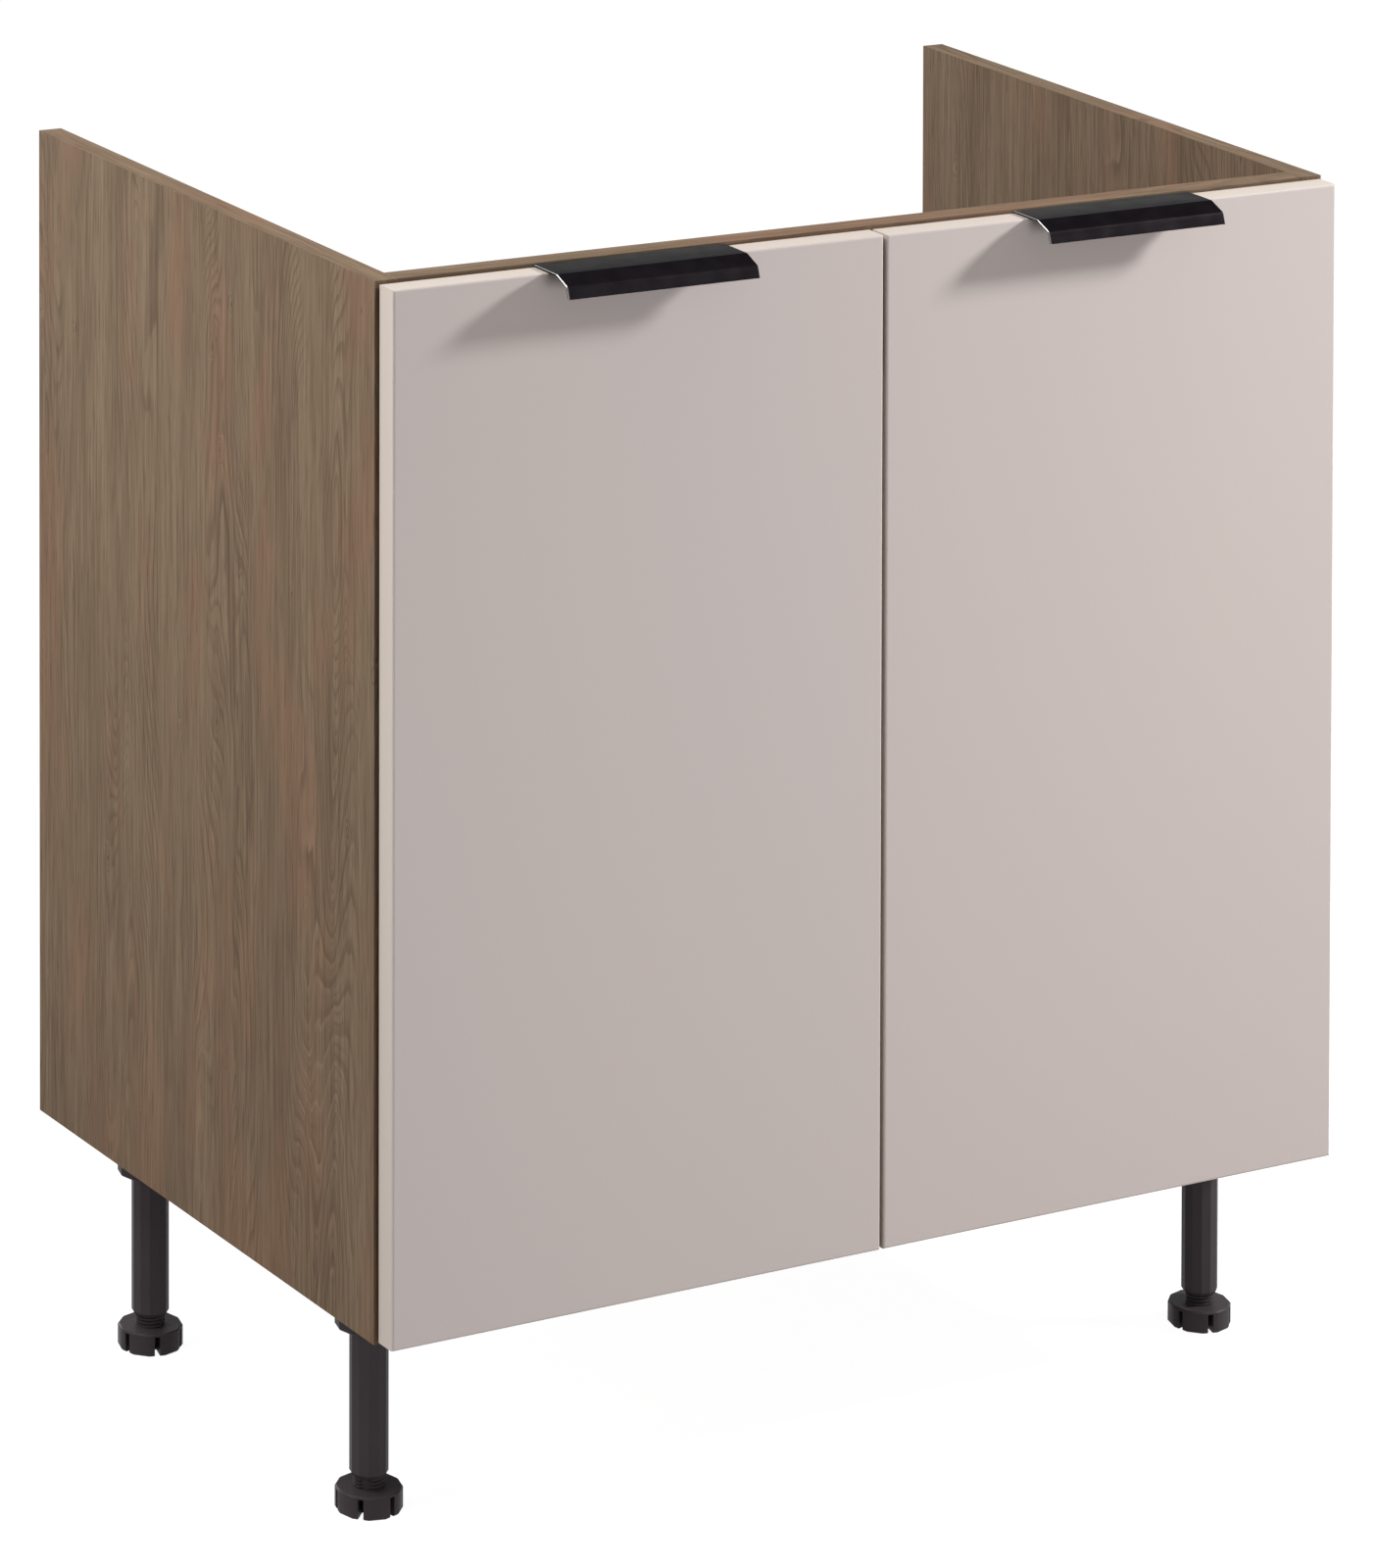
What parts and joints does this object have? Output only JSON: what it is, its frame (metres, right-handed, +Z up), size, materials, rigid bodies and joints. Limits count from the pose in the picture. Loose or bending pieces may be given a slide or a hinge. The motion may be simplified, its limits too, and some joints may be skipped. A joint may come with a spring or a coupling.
{
  "type": "sink base cabinet",
  "caption": "Open-topped sink base cabinet with oak-decor carcass, plain matt overlay doors on concealed hinges, black edge pulls and adjustable legs.",
  "frame": {"origin": "on the floor, under the centre of the cabinet's bounding box, handles included", "axes": "+X to the cabinet's right seen from the front, +Y to its back, +Z up; the doors face -Y"},
  "size_m": [0.8, 0.5274, 0.87],
  "materials": {
    "oak_decor": "brown-grey oak decor, vertical grain, matt",
    "door_film": "fibreboard in plain matt greige film",
    "pull_black": "black, satin",
    "leg_plastic": "dark charcoal, moulded",
    "hinge_steel": "nickel-plated",
    "zinc": "die-cast zinc, bright"
  },
  "bodies": {
    "carcass": {"side_left": "oak_decor", "side_right": "oak_decor", "bottom_panel": "oak_decor", "front_rail": "oak_decor", "rear_rail": "oak_decor", "cam_front_rail_left": "zinc", "cam_front_rail_right": "zinc", "cam_rear_rail_left": "zinc", "cam_rear_rail_right": "zinc", "cam_bottom_front_left": "zinc", "cam_bottom_front_right": "zinc", "cam_bottom_rear_left": "zinc", "cam_bottom_rear_right": "zinc", "cam_bolt_front_rail_left": "hinge_steel", "cam_bolt_front_rail_right": "hinge_steel", "cam_bolt_rear_rail_left": "hinge_steel", "cam_bolt_rear_rail_right": "hinge_steel", "cam_bolt_bottom_front_left": "hinge_steel", "cam_bolt_bottom_front_right": "hinge_steel", "cam_bolt_bottom_rear_left": "hinge_steel", "cam_bolt_bottom_rear_right": "hinge_steel", "hinge_upper_left_arm": "hinge_steel", "hinge_upper_left_plate": "hinge_steel", "hinge_lower_left_arm": "hinge_steel", "hinge_lower_left_plate": "hinge_steel", "hinge_upper_right_arm": "hinge_steel", "hinge_upper_right_plate": "hinge_steel", "hinge_lower_right_arm": "hinge_steel", "hinge_lower_right_plate": "hinge_steel", "leg_front_left_socket": "leg_plastic", "leg_front_left_tube": "leg_plastic", "leg_front_right_socket": "leg_plastic", "leg_front_right_tube": "leg_plastic", "leg_rear_left_socket": "leg_plastic", "leg_rear_left_tube": "leg_plastic", "leg_rear_right_socket": "leg_plastic", "leg_rear_right_tube": "leg_plastic"},
    "outer_links_left": {"hinge_upper_left_outer_link": "hinge_steel", "hinge_lower_left_outer_link": "hinge_steel"},
    "door_left": {"door_left": "door_film", "handle_left": "pull_black", "hinge_upper_left_cup": "hinge_steel", "hinge_lower_left_cup": "hinge_steel"},
    "inner_links_left": {"hinge_upper_left_inner_link": "hinge_steel", "hinge_lower_left_inner_link": "hinge_steel"},
    "outer_links_right": {"hinge_upper_right_outer_link": "hinge_steel", "hinge_lower_right_outer_link": "hinge_steel"},
    "door_right": {"door_right": "door_film", "handle_right": "pull_black", "hinge_upper_right_cup": "hinge_steel", "hinge_lower_right_cup": "hinge_steel"},
    "inner_links_right": {"hinge_upper_right_inner_link": "hinge_steel", "hinge_lower_right_inner_link": "hinge_steel"},
    "foot_front_left": {"leg_front_left_foot": "leg_plastic"},
    "foot_front_right": {"leg_front_right_foot": "leg_plastic"},
    "foot_rear_left": {"leg_rear_left_foot": "leg_plastic"},
    "foot_rear_right": {"leg_rear_right_foot": "leg_plastic"}
  },
  "joints": [
    {"name": "outer_links_left_swing", "type": "hinge", "parent": "carcass", "child": "outer_links_left", "pos_m": [-0.37204, -0.19034, 0.495], "axis": [0, 0, 1], "range_deg": [0, 28.3]},
    {"name": "door_left_open", "type": "hinge", "parent": "outer_links_left", "child": "door_left", "pos_m": [-0.38963, -0.22078, 0.495], "axis": [0, 0, -1], "range_deg": [0, 122.3]},
    {"name": "inner_links_left_swing", "type": "hinge", "parent": "door_left", "child": "inner_links_left", "pos_m": [-0.38635, -0.22637, 0.495], "axis": [0, 0, 1], "range_deg": [0, 105.2]},
    {"name": "outer_links_right_swing", "type": "hinge", "parent": "carcass", "child": "outer_links_right", "pos_m": [0.37204, -0.19034, 0.495], "axis": [0, 0, -1], "range_deg": [0, 28.3]},
    {"name": "door_right_open", "type": "hinge", "parent": "outer_links_right", "child": "door_right", "pos_m": [0.38963, -0.22078, 0.495], "axis": [0, 0, 1], "range_deg": [0, 122.3]},
    {"name": "inner_links_right_swing", "type": "hinge", "parent": "door_right", "child": "inner_links_right", "pos_m": [0.38635, -0.22637, 0.495], "axis": [0, 0, -1], "range_deg": [0, 105.2]},
    {"name": "foot_front_left_adjust", "type": "slide", "parent": "carcass", "child": "foot_front_left", "axis": [0, 0, 1], "range_m": [-0.02, 0.006]},
    {"name": "foot_front_right_adjust", "type": "slide", "parent": "carcass", "child": "foot_front_right", "axis": [0, 0, 1], "range_m": [-0.02, 0.006]},
    {"name": "foot_rear_left_adjust", "type": "slide", "parent": "carcass", "child": "foot_rear_left", "axis": [0, 0, 1], "range_m": [-0.02, 0.006]},
    {"name": "foot_rear_right_adjust", "type": "slide", "parent": "carcass", "child": "foot_rear_right", "axis": [0, 0, 1], "range_m": [-0.02, 0.006]}
  ],
  "couplings": [
    {"joint": "outer_links_left_swing", "follows": "door_left_open", "ratio": 0.23139},
    {"joint": "inner_links_left_swing", "follows": "door_left_open", "ratio": 0.86017},
    {"joint": "outer_links_right_swing", "follows": "door_right_open", "ratio": 0.23139},
    {"joint": "inner_links_right_swing", "follows": "door_right_open", "ratio": 0.86017}
  ]
}
